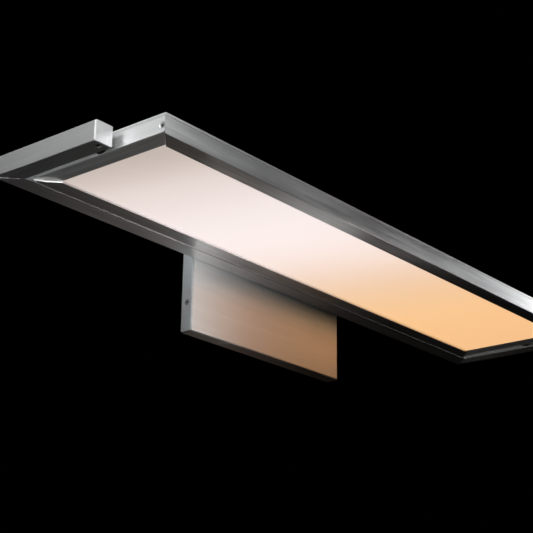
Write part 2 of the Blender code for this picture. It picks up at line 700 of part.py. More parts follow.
def make_lid():
    lid = block("head_lid", (-HEAD_END, HEAD_FRONT, TOP - LID), (HEAD_END, HEAD_BACK, TOP),
                ALUMINIUM, HEAD)
    for corner, sign, y, inward in corners():
        mouth = (sign * (HEAD_END - POST_IN), y + inward * POST_IN, TOP)
        cut_countersink(lid, "lid_countersink_" + corner, mouth, (0, 0, 1), M3_HEAD_R,
                        M3_HEAD_DEPTH, M3_SHANK_R + FIT, 0.004)
        countersunk_screw("lid_screw_" + corner, HEAD, (mouth[0], mouth[1], TOP - 0.0001),
                          (0, 0, 1), M3_HEAD_R, M3_HEAD_DEPTH, M3_SHANK_R, 0.009, M3_KEY)


def make_corner_key(corner, sign, face_y, inward):
    """An L-shaped plate inside a corner of the head, with a post that the lid screws into."""
    name = "head_corner_key_" + corner
    edge, width, leg = RAIL_WALL + FIT, 0.0085, 0.030
    low_z, high_z = HEAD_BOTTOM + RIB_TOP + FIT, HEAD_BOTTOM + PORT_UP - 0.0030

    def span(x_from, x_to, y_from, y_to, z_from, z_to):
        xs = sorted(sign * (HEAD_END - v) for v in (x_from, x_to))
        ys = sorted(face_y + inward * v for v in (y_from, y_to))
        return (xs[0], ys[0], z_from), (xs[1], ys[1], z_to)

    low, high = span(edge, leg, edge, edge + width, low_z, high_z)
    key = block(name, low, high, ZINC, HEAD)
    join_box(key, name + "_leg", *span(edge, edge + width, edge + width / 2, leg, low_z, high_z))
    start, end = POST_IN - POST_SIZE / 2, POST_IN + POST_SIZE / 2
    join_box(key, name + "_post",
             *span(start, end, start, end, (low_z + high_z) / 2, HEAD_BOTTOM + RAIL_TOP - FIT))
    x, y = sign * (HEAD_END - POST_IN), face_y + inward * POST_IN
    cut_rod(key, name + "_thread", (x, y, TOP), (x, y, TOP - 0.011), M3_SHANK_R + FIT, 16)


def make_diffuser():
    """Opal panel: its lower part fills the opening and its flange rests on the rails' ribs."""
    opening_x = HEAD_END - BEZEL_END - FIT
    opening_y = HEAD_DEPTH / 2 - BEZEL_LONG - FIT
    flange_x = HEAD_END - REFLECTOR_IN + FIT
    flange_y = HEAD_DEPTH / 2 - REFLECTOR_IN + FIT
    flange_low = HEAD_BOTTOM + RIB_TOP + FIT
    panel = block("diffuser", (-flange_x, HEAD_MIDDLE - flange_y, flange_low),
                  (flange_x, HEAD_MIDDLE + flange_y, flange_low + DIFFUSER_FLANGE), OPAL, HEAD)
    join_box(panel, "diffuser_face",
             (-opening_x, HEAD_MIDDLE - opening_y, HEAD_BOTTOM + DIFFUSER_RECESS),
             (opening_x, HEAD_MIDDLE + opening_y, flange_low + DIFFUSER_FLANGE / 2))


def make_reflector_frame():
    half_x = HEAD_END - REFLECTOR_IN
    half_y = HEAD_DEPTH / 2 - REFLECTOR_IN
    low_z = HEAD_BOTTOM + RIB_TOP + DIFFUSER_FLANGE + 2 * FIT
    high_z = HEAD_BOTTOM + RAIL_TOP
    frame = block("reflector_frame", (-half_x, HEAD_MIDDLE - half_y, low_z),
                  (half_x, HEAD_MIDDLE + half_y, high_z), WHITE, HEAD)
    cut_box(frame, "reflector_opening",
            (REFLECTOR_WALL - half_x, HEAD_MIDDLE + REFLECTOR_WALL - half_y, low_z - 0.002),
            (half_x - REFLECTOR_WALL, HEAD_MIDDLE + half_y - REFLECTOR_WALL, high_z + 0.002))
    cut_rod(frame, "reflector_lead_hole", (-half_x - 0.002, PIVOT_Y, PIVOT_Z),
            (-half_x + 0.004, PIVOT_Y, PIVOT_Z), 0.0022, 16)


def make_led_board(index):
    """A long board under the lid with a row of LEDs on its lower side."""
    name = f"led_board_{index}"
    y = HEAD_MIDDLE + (index - 2) * BOARD_PITCH
    high_z = TOP - LID - FIT
    low_z = high_z - BOARD_THICK
    board = block(name, (-BOARD_LENGTH / 2, y - BOARD_WIDTH / 2, low_z),
                  (BOARD_LENGTH / 2, y + BOARD_WIDTH / 2, high_z), BOARD_WHITE, HEAD)
    pitch = BOARD_LENGTH / LEDS_PER_BOARD
    led_x, led_y, led_z = 0.0035, 0.0028, 0.0012
    mesh = box_mesh(name + "_leds", (led_x, led_y, led_z))
    row = add_cutter(name + "_leds", mesh, ((pitch - BOARD_LENGTH) / 2, y, low_z))
    array = row.modifiers.new("row", "ARRAY")
    array.count = LEDS_PER_BOARD
    array.use_relative_offset = False
    array.use_constant_offset = True
    array.constant_offset_displace = (pitch, 0.0, 0.0)
    combine(board, row, "UNION")


# ---------------------------------------------------------------- internal leads

def make_leads():
    arm_x = -ARM_MIDDLE
    bore_x = -LEAD_BORE_X
    high = PIVOT_Z + 0.002
    lane = CROSSBAR_FRONT + 0.0065
    start = -0.058 - FIT
    supply = [(start, -0.0078, -0.020), (start - 0.012, -0.0078, -0.018),
              (-0.082, -0.0078, -0.004), (-0.084, -0.0078, 0.016), (-0.076, -0.0078, 0.033),
              (-0.0655, -0.0076, 0.0390), (-0.0612, -0.0084, PIVOT_Z),
              (LEAD_HOLE_X, -0.0112, PIVOT_Z), (LEAD_HOLE_X, -0.0145, PIVOT_Z),
              (LEAD_HOLE_X, -0.0180, PIVOT_Z), (-0.0625, -0.0245, PIVOT_Z),
              (-0.072, lane, PIVOT_Z + 0.001), (-0.100, lane, high), (-0.200, lane, high),
              (-0.300, lane, high), (arm_x + 0.020, lane, high), (arm_x + 0.006, -0.0305, high),
              (arm_x, -0.040, high), (arm_x, -0.060, high), (arm_x, -0.095, high),
              (bore_x, PLUG_END + 0.002, PIVOT_Z), (bore_x, PIVOT_Y + 0.006, PIVOT_Z),
              (bore_x + 0.0012, PIVOT_Y + 0.0014, PIVOT_Z), (bore_x + 0.005, PIVOT_Y, PIVOT_Z),
              (-ARM_INNER, PIVOT_Y, PIVOT_Z), (-HEAD_END + 0.0137, PIVOT_Y, PIVOT_Z)]
    lead("supply_lead", supply, LEAD_R, BRACKET)
    thin = 0.0011
    under_lid = TOP - LID - FIT - thin
    board_end = -BOARD_LENGTH / 2 - 3 * FIT
    head = [(-HEAD_END + 0.0141, PIVOT_Y, PIVOT_Z), (-HEAD_END + 0.0165, PIVOT_Y, PIVOT_Z),
            (-0.3545, PIVOT_Y + 0.001, PIVOT_Z + 0.0018),
            (-0.3540, HEAD_MIDDLE - 0.0045, under_lid - 0.0010),
            (-0.3522, HEAD_MIDDLE - 0.003, under_lid),
            (board_end, HEAD_MIDDLE - 0.003, under_lid)]
    lead("head_lead", head, thin, HEAD)


# ---------------------------------------------------------------- assembly

def smooth_round_pieces():
    for obj in PARTS.objects:
        if obj.type == "MESH" and any(m.type == "SCREW" for m in obj.modifiers):
            obj.data.shade_smooth()
            obj.data.set_sharp_from_angle(angle=math.radians(35))


def main():
    make_wall_plate()
    make_box_cover()
    make_box_screws()
    make_box_contents()
    make_crossbar()
    make_crossbar_fixings()
    make_long_rail("head_front_rail", HEAD_FRONT, 1)
    make_long_rail("head_rear_rail", HEAD_BACK, -1)
    make_lid()
    make_diffuser()
    make_reflector_frame()
    for index in (1, 2, 3):
        make_led_board(index)
    for side, sign in SIDES:
        make_arm(side, sign)
        make_arm_plug(side, sign)
        make_set_screw(side, sign)
        make_bracket_key(side, sign)
        make_pivot(side, sign)
        make_pivot_block(side, sign)
        make_end_rail(side, sign)
    for corner in corners():
        make_corner_key(*corner)
    make_leads()
    smooth_round_pieces()


main()
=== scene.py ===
import math

import bpy
from mathutils import Matrix, Vector

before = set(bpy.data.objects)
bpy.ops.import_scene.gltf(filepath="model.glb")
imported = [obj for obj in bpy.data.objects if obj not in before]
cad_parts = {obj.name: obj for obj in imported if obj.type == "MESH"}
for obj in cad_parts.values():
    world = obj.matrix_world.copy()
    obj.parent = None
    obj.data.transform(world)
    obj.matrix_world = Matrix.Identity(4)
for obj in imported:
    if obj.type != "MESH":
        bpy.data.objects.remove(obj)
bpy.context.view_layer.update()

MM = 0.001

# The view: a long lens, low and to the left, looking up at the lamp's left end.
IMAGE_PX = 533
SENSOR_MM = 36.0
FOCAL_PX = 1354.494
CAMERA_AT = Vector((-1.118682, -0.943552, -0.460692))
CAMERA_YAW = math.radians(50.128)
CAMERA_PITCH = math.radians(19.596)
CAMERA_ROLL = math.radians(0.912)

FLOOR_Z = -1.55
FLOOR_HALF = 60.0
FLOOR_DARK, FLOOR_LIGHT = 0.66, 0.70
FLOOR_CLOUD_SCALE = 0.8


# ---------------------------------------------------------------- node helpers


# A colour Mix node's sockets share their names with its other kinds, so they go by number.
MIX_SHARE, MIX_A, MIX_B, MIX_RESULT = 0, 6, 7, 2
# Where most of a noise's values fall.
NOISE_SPAN = (0.3, 0.7)


class Graph:
    """A small wrapper that adds shader nodes and joins them."""

    def __init__(self, tree):
        self.tree = tree

    def node(self, kind, **settings):
        made = self.tree.nodes.new("ShaderNode" + kind)
        for name, value in settings.items():
            setattr(made, name, value)
        return made

    def join(self, source, target):
        self.tree.links.new(source, target)

    def put(self, target, value):
        if isinstance(value, bpy.types.NodeSocket):
            self.join(value, target)
        else:
            target.default_value = value

    def math(self, operation, a, b=0.0, clamp=False):
        made = self.node("Math", operation=operation, use_clamp=clamp)
        self.put(made.inputs[0], a)
        self.put(made.inputs[1], b)
        return made.outputs[0]

    def total(self, first, *others):
        for other in others:
            first = self.math("ADD", first, other)
        return first

    def spread(self, value, low, high, from_low=0.0, from_high=1.0):
        """Maps from_low..from_high to low..high, held at both ends."""
        made = self.node("MapRange")
        self.put(made.inputs["Value"], value)
        self.put(made.inputs["From Min"], from_low)
        self.put(made.inputs["From Max"], from_high)
        self.put(made.inputs["To Min"], low)
        self.put(made.inputs["To Max"], high)
        return made.outputs["Result"]

    def mix_colour(self, share, a, b, blend="MIX"):
        made = self.node("Mix", data_type="RGBA", blend_type=blend)
        self.put(made.inputs[MIX_SHARE], share)
        self.put(made.inputs[MIX_A], a)
        self.put(made.inputs[MIX_B], b)
        return made.outputs[MIX_RESULT]

    def place(self):
        """The place in the shared frame, in metres, which rides with the body."""
        return self.node("TexCoord").outputs["Object"]

    def axes(self, vector):
        """The X, Y and Z of a vector, by letter."""
        made = self.node("SeparateXYZ")
        self.join(vector, made.inputs[0])
        return made.outputs

    def stretched(self, vector, scale):
        made = self.node("Mapping")
        self.join(vector, made.inputs["Vector"])
        made.inputs["Scale"].default_value = scale
        return made.outputs["Vector"]

    def noise(self, vector, scale, detail=2.0, roughness=0.5):
        made = self.node("TexNoise")
        self.join(vector, made.inputs["Vector"])
        made.inputs["Scale"].default_value = scale
        made.inputs["Detail"].default_value = detail
        made.inputs["Roughness"].default_value = roughness
        return made.outputs["Fac"]

    def bump(self, height, distance, strength=1.0, normal=None):
        made = self.node("Bump")
        self.join(height, made.inputs["Height"])
        made.inputs["Distance"].default_value = distance
        made.inputs["Strength"].default_value = strength
        if normal is not None:
            self.join(normal, made.inputs["Normal"])
        return made.outputs["Normal"]


def new_material(name):
    """A material, its graph and its Principled shader, which feeds the output."""
    material = bpy.data.materials.new(name)
    material.use_nodes = True
    tree = material.node_tree
    tree.nodes.clear()
    graph = Graph(tree)
    shader = graph.node("BsdfPrincipled")
    output = graph.node("OutputMaterial")
    graph.join(shader.outputs["BSDF"], output.inputs["Surface"])
    return material, graph, shader


def opaque(colour):
    return (*colour, 1.0)


def grey(value, tint=(1.0, 1.0, 1.0)):
    return opaque(value * t for t in tint)


def linear(code):
    """A colour written as #RRGGBB, as linear light."""
    parts = [int(code[i : i + 2], 16) / 255 for i in (1, 3, 5)]
    return opaque(c / 12.92 if c <= 0.04045 else ((c + 0.055) / 1.055) ** 2.4 for c in parts)


# ------------------------------------------------------------------- materials

AXIS = {"x": (1.0, 0.0, 0.0), "y": (0.0, 1.0, 0.0), "z": (0.0, 0.0, 1.0)}
# Noise scales along and across the brushing, for its fine lines and its broad streaks.
LINES_ALONG, LINES_ACROSS = 6.0, 900.0
STREAKS_ALONG, STREAKS_ACROSS = 9.0, 170.0
BLAST_SCALE = 2600.0
SMUDGE_SCALE = 9.0
# What each adds to the tone, and the span of tone from the darkest metal to the lightest.
LINES_TONE, BLAST_TONE, SMUDGE_TONE = 0.55, 0.25, 0.35
TONE_SPAN = (0.25, 0.85)
STREAK_ROUGH = 0.12
BRUSH_DEPTH = 0.02 * MM
# Added to the tangent, which would vanish on faces square to the brushing.
TANGENT_NUDGE = (0.008, 0.012, 0.02)

COOL = (0.985, 0.995, 1.0)
NICKEL = (1.0, 0.985, 0.96)
BLUED = (0.96, 0.98, 1.0)

# Painted light on the wall box: its colour runs from a painted warm glow to a painted cool light
# towards its top and its left end.
WARM_LIGHT_PAINT = (0.90, 0.785, 0.75)
COOL_LIGHT_PAINT = (0.90, 0.98, 1.0)
COOL_LIGHT_PAINT_FROM_Z, COOL_LIGHT_PAINT_TO_Z = -0.004, 0.028
COOL_LIGHT_PAINT_FROM_X, COOL_LIGHT_PAINT_TO_X = -0.03, -0.125
COOL_LIGHT_PAINT_AT_LEFT = 0.8
# Painted shade: the box's underside darkens towards the right.
UNDERSIDE_LIGHT_PAINT_X, UNDERSIDE_SHADE_PAINT_X = -0.10, 0.09
UNDERSIDE_SHADE_PAINT = 0.30
UNDERSIDE_NORMAL_Z = (-0.9, -0.6)

# A rounded edge is where the largest part of the normal falls through this span.
EDGE_NORMAL = (0.91, 0.998)
# Painted shade on the crossbar's rounded edges: the share of base colour they keep, which dims
# their highlight.
BAR_EDGE_SHADE_PAINT = 0.42

# Where the seats of the screw heads lie, how far in their sockets start, and the tone of the
# painted shade inside the sockets.
END_SCREW_X = 0.3725
BOX_SCREW_X = 0.1279
SOCKET_IN = 0.2 * MM
SOCKET_SHADE_PAINT = 0.02

# The panel's glow from its left end to its right, and the slant of its bands.
PANEL_LEFT, PANEL_RIGHT = -0.38, 0.33
PANEL_SLANT = 0.2
PANEL_GLOW = (
    (0.00, "#AFA197"),
    (0.10, "#DECEC7"),
    (0.26, "#F4E9E8"),
    (0.42, "#EEDDD7"),
    (0.56, "#EBC8AB"),
    (0.70, "#F4C592"),
    (0.82, "#FAC58C"),
    (1.00, "#F5BF88"),
)
CLOUD_SCALE, CLOUD_SHARE = 14.0, 0.04
OPAL_GRAIN_SCALE = 1800.0
OPAL_DARK, OPAL_LIGHT = 0.40, 0.46

MOULD_FINE_SCALE, MOULD_BROAD_SCALE = 900.0, 40.0
MOULD_DEPTH = 0.05 * MM


def along_axis(axis, along, across):
    """A noise scale that is one value along an axis and another across it."""
    return tuple(along if part else across for part in AXIS[axis])


def across_grain(g, grain):
    """The tangent on any face: along the surface and square to the brushing."""
    cross = g.node("VectorMath", operation="CROSS_PRODUCT")
    g.join(g.node("NewGeometry").outputs["True Normal"], cross.inputs[0])
    cross.inputs[1].default_value = AXIS[grain]
    steady = g.node("VectorMath", operation="ADD")
    g.join(cross.outputs["Vector"], steady.inputs[0])
    steady.inputs[1].default_value = TANGENT_NUDGE
    return steady.outputs["Vector"]


def brushed_metal(
    name,
    grain,
    dark,
    light,
    roughness,
    metallic=1.0,
    brush=1.0,
    tint=(1.0, 1.0, 1.0),
    anisotropy=0.8,
    streaks=0.3,
):
    """Satin metal: fine brushing along one axis, bead-blast speckle, streaks and soft smudges."""
    material, g, shader = new_material(name)
    place = g.place()
    fine = g.stretched(place, along_axis(grain, LINES_ALONG, LINES_ACROSS))
    broad = g.stretched(place, along_axis(grain, STREAKS_ALONG, STREAKS_ACROSS))
    lines = g.noise(fine, 1.0, detail=3.0, roughness=0.6)
    streak = g.noise(broad, 1.0, detail=4.0, roughness=0.65)
    speckle = g.noise(place, BLAST_SCALE, detail=1.0)
    smudge = g.noise(place, SMUDGE_SCALE, detail=3.0, roughness=0.55)

    tone = g.total(
        g.math("MULTIPLY", lines, LINES_TONE * brush),
        g.math("MULTIPLY", speckle, BLAST_TONE),
        g.math("MULTIPLY", smudge, SMUDGE_TONE),
        g.spread(streak, -streaks, streaks, *NOISE_SPAN),
    )
    share = g.spread(tone, 0.0, 1.0, *TONE_SPAN)
    g.join(g.mix_colour(share, grey(dark, tint), grey(light, tint)), shader.inputs["Base Color"])

    rough = g.total(
        g.spread(lines, -0.04, 0.04, *NOISE_SPAN),
        g.spread(smudge, -0.03, 0.04, *NOISE_SPAN),
        g.spread(streak, -STREAK_ROUGH * streaks, STREAK_ROUGH * streaks, *NOISE_SPAN),
        roughness,
    )
    g.join(rough, shader.inputs["Roughness"])

    brushed = g.bump(lines, BRUSH_DEPTH, strength=0.3 * brush)
    blasted = g.bump(speckle, BRUSH_DEPTH, strength=0.25, normal=brushed)
    g.join(blasted, shader.inputs["Normal"])
    shader.inputs["Metallic"].default_value = metallic
    shader.inputs["Anisotropic"].default_value = anisotropy
    g.join(across_grain(g, grain), shader.inputs["Tangent"])
    return material


def base_colour_of(material):
    """A material's graph, its base colour socket and the output that feeds that socket."""
    tree = material.node_tree
    shader = next(n for n in tree.nodes if n.type == "BSDF_PRINCIPLED")
    base = shader.inputs["Base Color"]
    return Graph(tree), base, base.links[0].from_socket


def painted_shade_edges(material, share):
    """Painted shade: rounded edges keep only this share of the base colour, which dims the
    highlight they catch.
    """
    g, base, plain = base_colour_of(material)
    normal = g.axes(g.node("NewGeometry").outputs["Normal"])
    x, y, z = (g.math("ABSOLUTE", normal[axis]) for axis in "XYZ")
    squarest = g.math("MAXIMUM", g.math("MAXIMUM", x, y), z)
    edge = g.spread(squarest, 1.0, 0.0, *EDGE_NORMAL)
    painted_shade = g.mix_colour(1.0, plain, grey(share), blend="MULTIPLY")
    g.join(g.mix_colour(edge, plain, painted_shade), base)
    return material


def box_cover_metal_painted_light():
    """The box's satin skin, with painted light that runs from warm to cool and painted shade on an
    underside that darkens to the right.
    """
    material = brushed_metal(
        "satin_aluminium_cover_painted_light",
        "x",
        0.76,
        0.90,
        0.38,
        metallic=0.97,
        anisotropy=0.7,
        streaks=0.15,
    )
    g, base, plain = base_colour_of(material)
    place = g.axes(g.place())
    # Painted light: a warm glow low down, turning to a cool light towards the top and the left
    # end.
    high = g.spread(place["Z"], 0.0, 1.0, COOL_LIGHT_PAINT_FROM_Z, COOL_LIGHT_PAINT_TO_Z)
    left = g.spread(place["X"], 0.0, COOL_LIGHT_PAINT_AT_LEFT, COOL_LIGHT_PAINT_FROM_X, COOL_LIGHT_PAINT_TO_X)
    tint = g.mix_colour(g.math("ADD", high, left, clamp=True), opaque(WARM_LIGHT_PAINT), opaque(COOL_LIGHT_PAINT))
    painted_light = g.mix_colour(1.0, plain, tint, blend="MULTIPLY")

    # Painted shade: the underside darkens towards the right.
    normal = g.axes(g.node("NewGeometry").outputs["Normal"])
    below = g.spread(normal["Z"], 1.0, 0.0, *UNDERSIDE_NORMAL_Z)
    right = g.spread(place["X"], 0.0, 1.0, UNDERSIDE_LIGHT_PAINT_X, UNDERSIDE_SHADE_PAINT_X)
    shade = g.mix_colour(g.math("MULTIPLY", below, right), grey(1.0), grey(UNDERSIDE_SHADE_PAINT))
    g.join(g.mix_colour(1.0, painted_light, shade, blend="MULTIPLY"), base)
    return material


def socket_steel(name, seat_x):
    """Dull steel for screws whose heads seat at X = +-seat_x, with painted shade in their hexagon
    sockets.
    """
    material = brushed_metal(name, "z", 0.34, 0.50, 0.44, tint=COOL, anisotropy=0.0)
    g, base, plain = base_colour_of(material)
    # Painted shade: all of the screw deeper than SOCKET_IN behind its seat is near black.
    from_middle = g.math("ABSOLUTE", g.axes(g.place())["X"])
    sunk = g.math("LESS_THAN", from_middle, seat_x - SOCKET_IN)
    g.join(g.mix_colour(sunk, plain, grey(SOCKET_SHADE_PAINT)), base)
    return material


def opal_panel():
    """The glowing opal sheet: dimmer and pinker at the left end, warm at the right."""
    material, g, shader = new_material("opal_diffuser")
    place = g.place()
    axes = g.axes(place)
    along = g.math("ADD", axes["X"], g.math("MULTIPLY", axes["Y"], PANEL_SLANT))
    ramp = g.node("ValToRGB")
    g.join(g.spread(along, 0.0, 1.0, PANEL_LEFT, PANEL_RIGHT), ramp.inputs["Fac"])
    stops = ramp.color_ramp
    stops.interpolation = "B_SPLINE"
    while len(stops.elements) < len(PANEL_GLOW):
        stops.elements.new(0.5)
    for element, (position, code) in zip(stops.elements, PANEL_GLOW):
        element.position = position
        element.color = linear(code)

    cloud = g.noise(place, CLOUD_SCALE)
    glow = g.mix_colour(CLOUD_SHARE, ramp.outputs["Color"], cloud, blend="OVERLAY")
    g.join(glow, shader.inputs["Emission Color"])
    shader.inputs["Emission Strength"].default_value = 1.0
    grain = g.spread(g.noise(place, OPAL_GRAIN_SCALE, detail=1.0), 0.0, 1.0, *NOISE_SPAN)
    g.join(g.mix_colour(grain, grey(OPAL_DARK), grey(OPAL_LIGHT)), shader.inputs["Base Color"])
    shader.inputs["Roughness"].default_value = 0.55
    shader.inputs["Specular IOR Level"].default_value = 0.25
    return material


def moulded(name, base, roughness, variation=0.25):
    """Moulded plastic, rubber or fibre: an even tone with a fine texture."""
    material, g, shader = new_material(name)
    place = g.place()
    fine = g.noise(place, MOULD_FINE_SCALE)
    broad = g.noise(place, MOULD_BROAD_SCALE)
    dark = opaque(c * (1.0 - variation) for c in base)
    light = opaque(min(1.0, c * (1.0 + variation)) for c in base)
    tone = g.math("ADD", g.math("MULTIPLY", fine, 0.5), g.math("MULTIPLY", broad, 0.5))
    share = g.spread(tone, 0.0, 1.0, *NOISE_SPAN)
    g.join(g.mix_colour(share, dark, light), shader.inputs["Base Color"])
    rough = g.spread(broad, roughness - 0.06, roughness + 0.06, *NOISE_SPAN)
    g.join(rough, shader.inputs["Roughness"])
    g.join(g.bump(fine, MOULD_DEPTH, strength=0.5), shader.inputs["Normal"])
    return material


# Metals: name, grain, darkest and lightest tone, roughness. Mouldings: name, colour, roughness.
MATERIALS = {
    "rail_x": brushed_metal(
        "satin_aluminium_rail_x", "x", 0.66, 0.92, 0.36, metallic=0.88, tint=COOL, streaks=0.32
    ),
    "rail_y": brushed_metal(
        "satin_aluminium_rail_y", "y", 0.74, 0.94, 0.44, metallic=0.80, tint=COOL, anisotropy=0.55
    ),
    "lid": brushed_metal(
        "satin_aluminium_lid", "x", 0.66, 0.86, 0.38, metallic=0.88, tint=COOL, streaks=0.1
    ),
    "arm": brushed_metal(
        "satin_aluminium_arm", "y", 0.44, 0.54, 0.42, metallic=0.90, tint=COOL, anisotropy=0.6
    ),
    # The crossbar's rounded edges get painted shade that dims their highlight.
    "bar": painted_shade_edges(
        brushed_metal("satin_aluminium_bar", "x", 0.80, 0.94, 0.43, metallic=0.92, tint=COOL),
        BAR_EDGE_SHADE_PAINT,
    ),
    "cover": box_cover_metal_painted_light(),
    "cap": brushed_metal(
        "satin_aluminium_cap", "z", 0.82, 0.98, 0.42, metallic=0.80, brush=1.6, tint=COOL
    ),
    "plate": brushed_metal("plate_aluminium", "x", 0.50, 0.66, 0.42, tint=COOL),
    "stainless": brushed_metal(
        "stainless_steel", "x", 0.42, 0.60, 0.26, tint=NICKEL, anisotropy=0.0
    ),
    "end_screw": socket_steel("end_screw_steel", END_SCREW_X),
    "box_screw": socket_steel("box_screw_steel", BOX_SCREW_X),
    "zinc": brushed_metal("zinc_steel", "y", 0.40, 0.58, 0.36, tint=BLUED, anisotropy=0.0),
    "opal": opal_panel(),
    "reflector": moulded("white_reflector", (0.86, 0.86, 0.85), 0.5, variation=0.04),
    "board": moulded("led_board", (0.82, 0.83, 0.80), 0.4, variation=0.05),
    "nylon": moulded("black_nylon", (0.018, 0.018, 0.02), 0.45),
    "fibre": moulded("fibre_washer", (0.055, 0.05, 0.045), 0.75, variation=0.35),
    "rubber": moulded("black_rubber", (0.022, 0.022, 0.022), 0.65),
    "driver": moulded("driver_plastic", (0.74, 0.74, 0.72), 0.48, variation=0.05),
    "terminal": moulded("terminal_plastic", (0.62, 0.60, 0.54), 0.42, variation=0.08),
    "sleeve": moulded("lead_sleeve", (0.55, 0.55, 0.56), 0.5, variation=0.1),
}

# Which pieces take which material, by name or by part of a name.
FINISHES = (
    ("rail_y", ("head_left_rail", "head_right_rail")),
    ("rail_x", ("head_front_rail", "head_rear_rail", "pivot_tube", "pivot_block", "corner_key")),
    ("lid", ("head_lid",)),
    ("arm", ("left_arm", "right_arm")),
    ("bar", ("crossbar",)),
    ("cover", ("wall_box_cover",)),
    ("cap", ("arm_end_plug",)),
    ("plate", ("wall_plate",)),
    ("end_screw", ("end_screw",)),
    ("box_screw", ("box_side_screw",)),
    ("stainless", ("lid_screw", "set_screw", "pivot_nut")),
    ("zinc", ("crossbar_bolt", "crossbar_nut", "spring_washer")),
    ("opal", ("diffuser",)),
    ("reflector", ("reflector_frame",)),
    ("board", ("led_board",)),
    ("nylon", ("pivot_spacer",)),
    ("fibre", ("friction_washer",)),
    ("rubber", ("lead_grommet", "mains_grommet")),
    ("driver", ("led_driver",)),
    ("terminal", ("terminal_block",)),
    ("sleeve", ("supply_lead", "head_lead")),
)


def finish_of(node):
    """The finish whose list names this node or has a word in its name."""
    found = [key for key, names in FINISHES for name in names if name == node]
    found += [key for key, names in FINISHES for name in names if name in node]
    return found[0]


for name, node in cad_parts.items():
    node.data.materials.clear()
    node.data.materials.append(MATERIALS[finish_of(name)])

# ------------------------------------------------------------------------ edges

# Edge radii in millimetres, of the pieces whose edges show.
EDGE_RADII = (
    (0.25, ("arm_end_plug",)),
    (0.2, ("head_rear_rail",)),
    (0.45, ("left_arm", "right_arm", "crossbar")),
    (0.45, ("head_front_rail", "head_left_rail", "head_right_rail")),
    (0.3, ("wall_box_cover", "head_lid")),
)
SHARP_DEG = 50.0
BEVEL_DEG = 40.0
BEVEL_SEGMENTS = 2
WELD_MM = 0.002


def smooth_by_angle():
    """Shades faces smooth and edges over SHARP_DEG sharp, and drops the imported normals."""
    tree = bpy.data.node_groups.new("smooth_by_angle", "GeometryNodeTree")
    tree.interface.new_socket("Geometry", in_out="INPUT", socket_type="NodeSocketGeometry")
    tree.interface.new_socket("Geometry", in_out="OUTPUT", socket_type="NodeSocketGeometry")
    start, end = tree.nodes.new("NodeGroupInput"), tree.nodes.new("NodeGroupOutput")
    plain = tree.nodes.new("GeometryNodeRemoveAttribute")
    plain.inputs["Name"].default_value = "custom_normal"
    faces = tree.nodes.new("GeometryNodeSetShadeSmooth")
    faces.domain = "FACE"
    faces.inputs["Shade Smooth"].default_value = True
    angle = tree.nodes.new("GeometryNodeInputMeshEdgeAngle")
    steep = tree.nodes.new("FunctionNodeCompare")
    steep.data_type, steep.operation = "FLOAT", "GREATER_THAN"
    steep.inputs[1].default_value = math.radians(SHARP_DEG)
    edges = tree.nodes.new("GeometryNodeSetShadeSmooth")
    edges.domain = "EDGE"
    edges.inputs["Shade Smooth"].default_value = False
    join = tree.links.new
    join(start.outputs[0], plain.inputs["Geometry"])
    join(plain.outputs[0], faces.inputs["Geometry"])
    join(faces.outputs[0], edges.inputs["Geometry"])
    join(angle.outputs["Unsigned Angle"], steep.inputs[0])
    join(steep.outputs[0], edges.inputs["Selection"])
    join(edges.outputs[0], end.inputs[0])
    return tree


SMOOTHING = smooth_by_angle()


def soften(node, radius_mm):
    """Rounds the sharp edges of a CAD part, whose faces come as separate triangles."""
    weld = node.modifiers.new("weld", "WELD")
    weld.merge_threshold = WELD_MM * MM
    bevel = node.modifiers.new("edges", "BEVEL")
    bevel.width = radius_mm * MM
    bevel.segments = BEVEL_SEGMENTS
    bevel.limit_method = "ANGLE"
    bevel.angle_limit = math.radians(BEVEL_DEG)
    bevel.harden_normals = False
    bevel.use_clamp_overlap = True
    node.modifiers.new("shading", "NODES").node_group = SMOOTHING
    normals = node.modifiers.new("normals", "WEIGHTED_NORMAL")
    normals.mode = "FACE_AREA"
    normals.keep_sharp = True


for radius_mm, names in EDGE_RADII:
    for name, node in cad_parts.items():
        if any(word in name for word in names):
            soften(node, radius_mm)

# ------------------------------------------------------------------------ stage


def make_floor():
    """A plain pale floor, seen by the camera only, so the lamp's underside stays dark."""
    mesh = bpy.data.meshes.new("floor")
    corners = ((-1, -1), (1, -1), (1, 1), (-1, 1))
    points = [(x * FLOOR_HALF, y * FLOOR_HALF, FLOOR_Z) for x, y in corners]
    mesh.from_pydata(points, [], [(0, 1, 2, 3)])
    floor = bpy.data.objects.new("floor", mesh)
    bpy.context.scene.collection.objects.link(floor)
    material, g, shader = new_material("floor_paint")
    cloud = g.spread(g.noise(g.place(), FLOOR_CLOUD_SCALE, detail=3.0), 0.0, 1.0, *NOISE_SPAN)
    paint = g.mix_colour(cloud, grey(FLOOR_DARK), grey(FLOOR_LIGHT))
    g.join(paint, shader.inputs["Base Color"])
    shader.inputs["Roughness"].default_value = 0.8
    mesh.materials.append(material)
    floor.visible_glossy = False
    floor.visible_diffuse = False


def aim(obj, at, target):
    """Puts a light at a place, facing the target."""
    obj.location = at
    obj.rotation_mode = "QUATERNION"
    obj.rotation_quaternion = (Vector(target) - Vector(at)).to_track_quat("-Z", "Y")


# Shares of an area light's side from its middle, where it is dark and where it is full.
FEATHER_DARK, FEATHER_FULL = 0.5, 0.05


